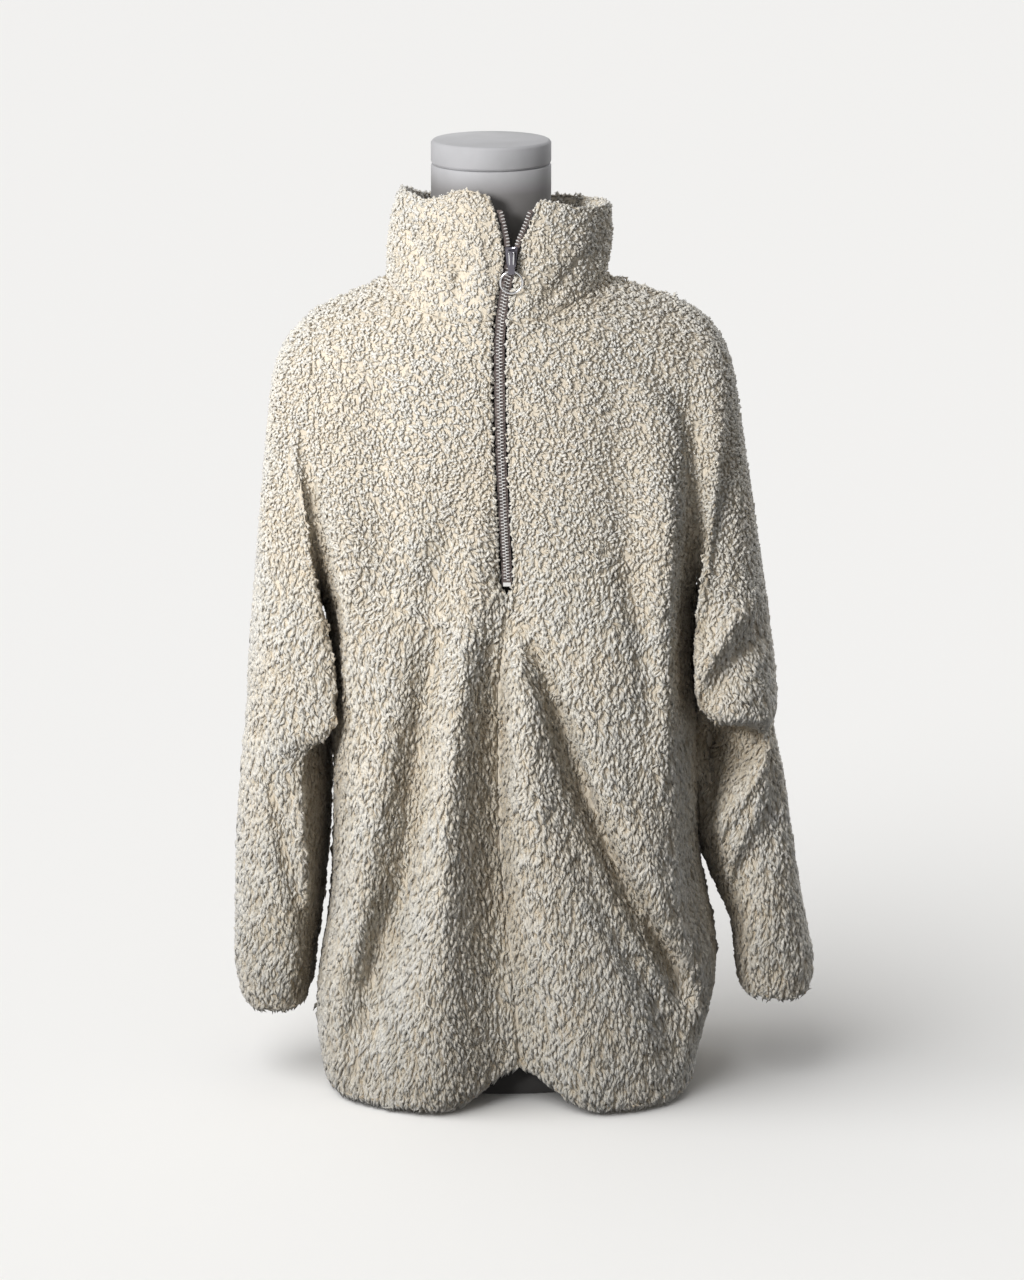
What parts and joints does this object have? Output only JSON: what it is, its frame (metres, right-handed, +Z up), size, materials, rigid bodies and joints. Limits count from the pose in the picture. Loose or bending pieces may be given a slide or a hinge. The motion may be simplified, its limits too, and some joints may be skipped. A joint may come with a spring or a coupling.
{
  "type": "sherpa fleece pullover on a dress form",
  "caption": "Curly-pile fleece pullover with a stand collar, front half zip with a ring pull, long empty sleeves, worn by a limbless dress form with a capped neck.",
  "frame": {"origin": "centre of the dress form's flat base", "axes": "+Z up through the neck, -Y out of the garment's front, +X to the wearer's left"},
  "size_m": [0.551, 0.2835, 0.891],
  "materials": {
    "fleece": "curly cream pile",
    "zip_tape": "woven tape",
    "steel": "polished",
    "form_cloth": "plain weave"
  },
  "bodies": {
    "pullover_on_form": {"front_left": "fleece", "front_right": "fleece", "back": "fleece", "collar": "fleece", "sleeve_left": "fleece", "sleeve_right": "fleece", "zip_tape_left": "zip_tape", "zip_tape_right": "zip_tape", "zip_teeth_left": "steel", "zip_teeth_right": "steel", "zip_stop": "steel", "zip_slider": "steel", "form_torso": "form_cloth", "form_neck_cap": "form_cloth"},
    "pull": {"pull_ring": "steel"}
  },
  "joints": [
    {"name": "pull_ring_hinge", "type": "hinge", "parent": "pullover_on_form", "child": "pull", "pos_m": [0.004, -0.096, 0.785], "axis": [-1, 0, 0], "range_deg": [0, 150]}
  ]
}
